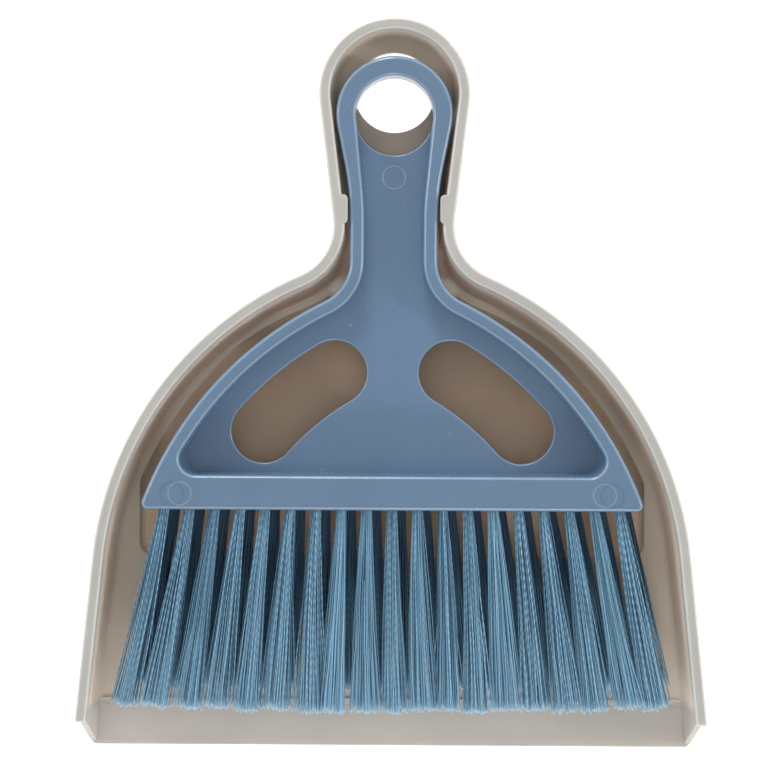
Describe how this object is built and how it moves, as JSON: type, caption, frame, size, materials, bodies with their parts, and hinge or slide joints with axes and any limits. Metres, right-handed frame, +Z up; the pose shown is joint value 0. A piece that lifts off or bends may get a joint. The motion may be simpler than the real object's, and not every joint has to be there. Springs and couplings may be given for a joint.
{
  "type": "dust pan and brush set",
  "caption": "Small dust pan with a ring-ended handle and a matching hand brush that clips into it, bristles towards the mouth.",
  "frame": {"origin": "middle of the set's footprint, on the floor it lies on", "axes": "+Z up, -Y towards the pan's mouth, +Y along both handles to the hanging rings"},
  "size_m": [0.198, 0.232, 0.03],
  "materials": {
    "pan_plastic": "satin warm grey polypropylene",
    "brush_plastic": "satin dusty blue polypropylene",
    "bristle": "dark blue crimped filament",
    "anchor_wire": "flat steel wire"
  },
  "bodies": {
    "pan": {"dust_pan": "pan_plastic"},
    "brush": {"brush_body": "brush_plastic", "tuft_upper_01": "bristle", "tuft_upper_02": "bristle", "tuft_upper_03": "bristle", "tuft_upper_04": "bristle", "tuft_upper_05": "bristle", "tuft_upper_06": "bristle", "tuft_upper_07": "bristle", "tuft_upper_08": "bristle", "tuft_upper_09": "bristle", "tuft_upper_10": "bristle", "tuft_upper_11": "bristle", "tuft_upper_12": "bristle", "tuft_upper_13": "bristle", "tuft_upper_14": "bristle", "tuft_upper_15": "bristle", "tuft_upper_16": "bristle", "tuft_upper_17": "bristle", "tuft_upper_18": "bristle", "tuft_upper_19": "bristle", "tuft_lower_01": "bristle", "tuft_lower_02": "bristle", "tuft_lower_03": "bristle", "tuft_lower_04": "bristle", "tuft_lower_05": "bristle", "tuft_lower_06": "bristle", "tuft_lower_07": "bristle", "tuft_lower_08": "bristle", "tuft_lower_09": "bristle", "tuft_lower_10": "bristle", "tuft_lower_11": "bristle", "tuft_lower_12": "bristle", "tuft_lower_13": "bristle", "tuft_lower_14": "bristle", "tuft_lower_15": "bristle", "tuft_lower_16": "bristle", "tuft_lower_17": "bristle", "tuft_lower_18": "bristle", "tuft_lower_19": "bristle", "tuft_anchors": "anchor_wire"}
  },
  "joints": [
    {"name": "brush_lift", "type": "slide", "parent": "pan", "child": "brush", "axis": [0, 0, 1], "range_m": [0, 0.08]}
  ]
}
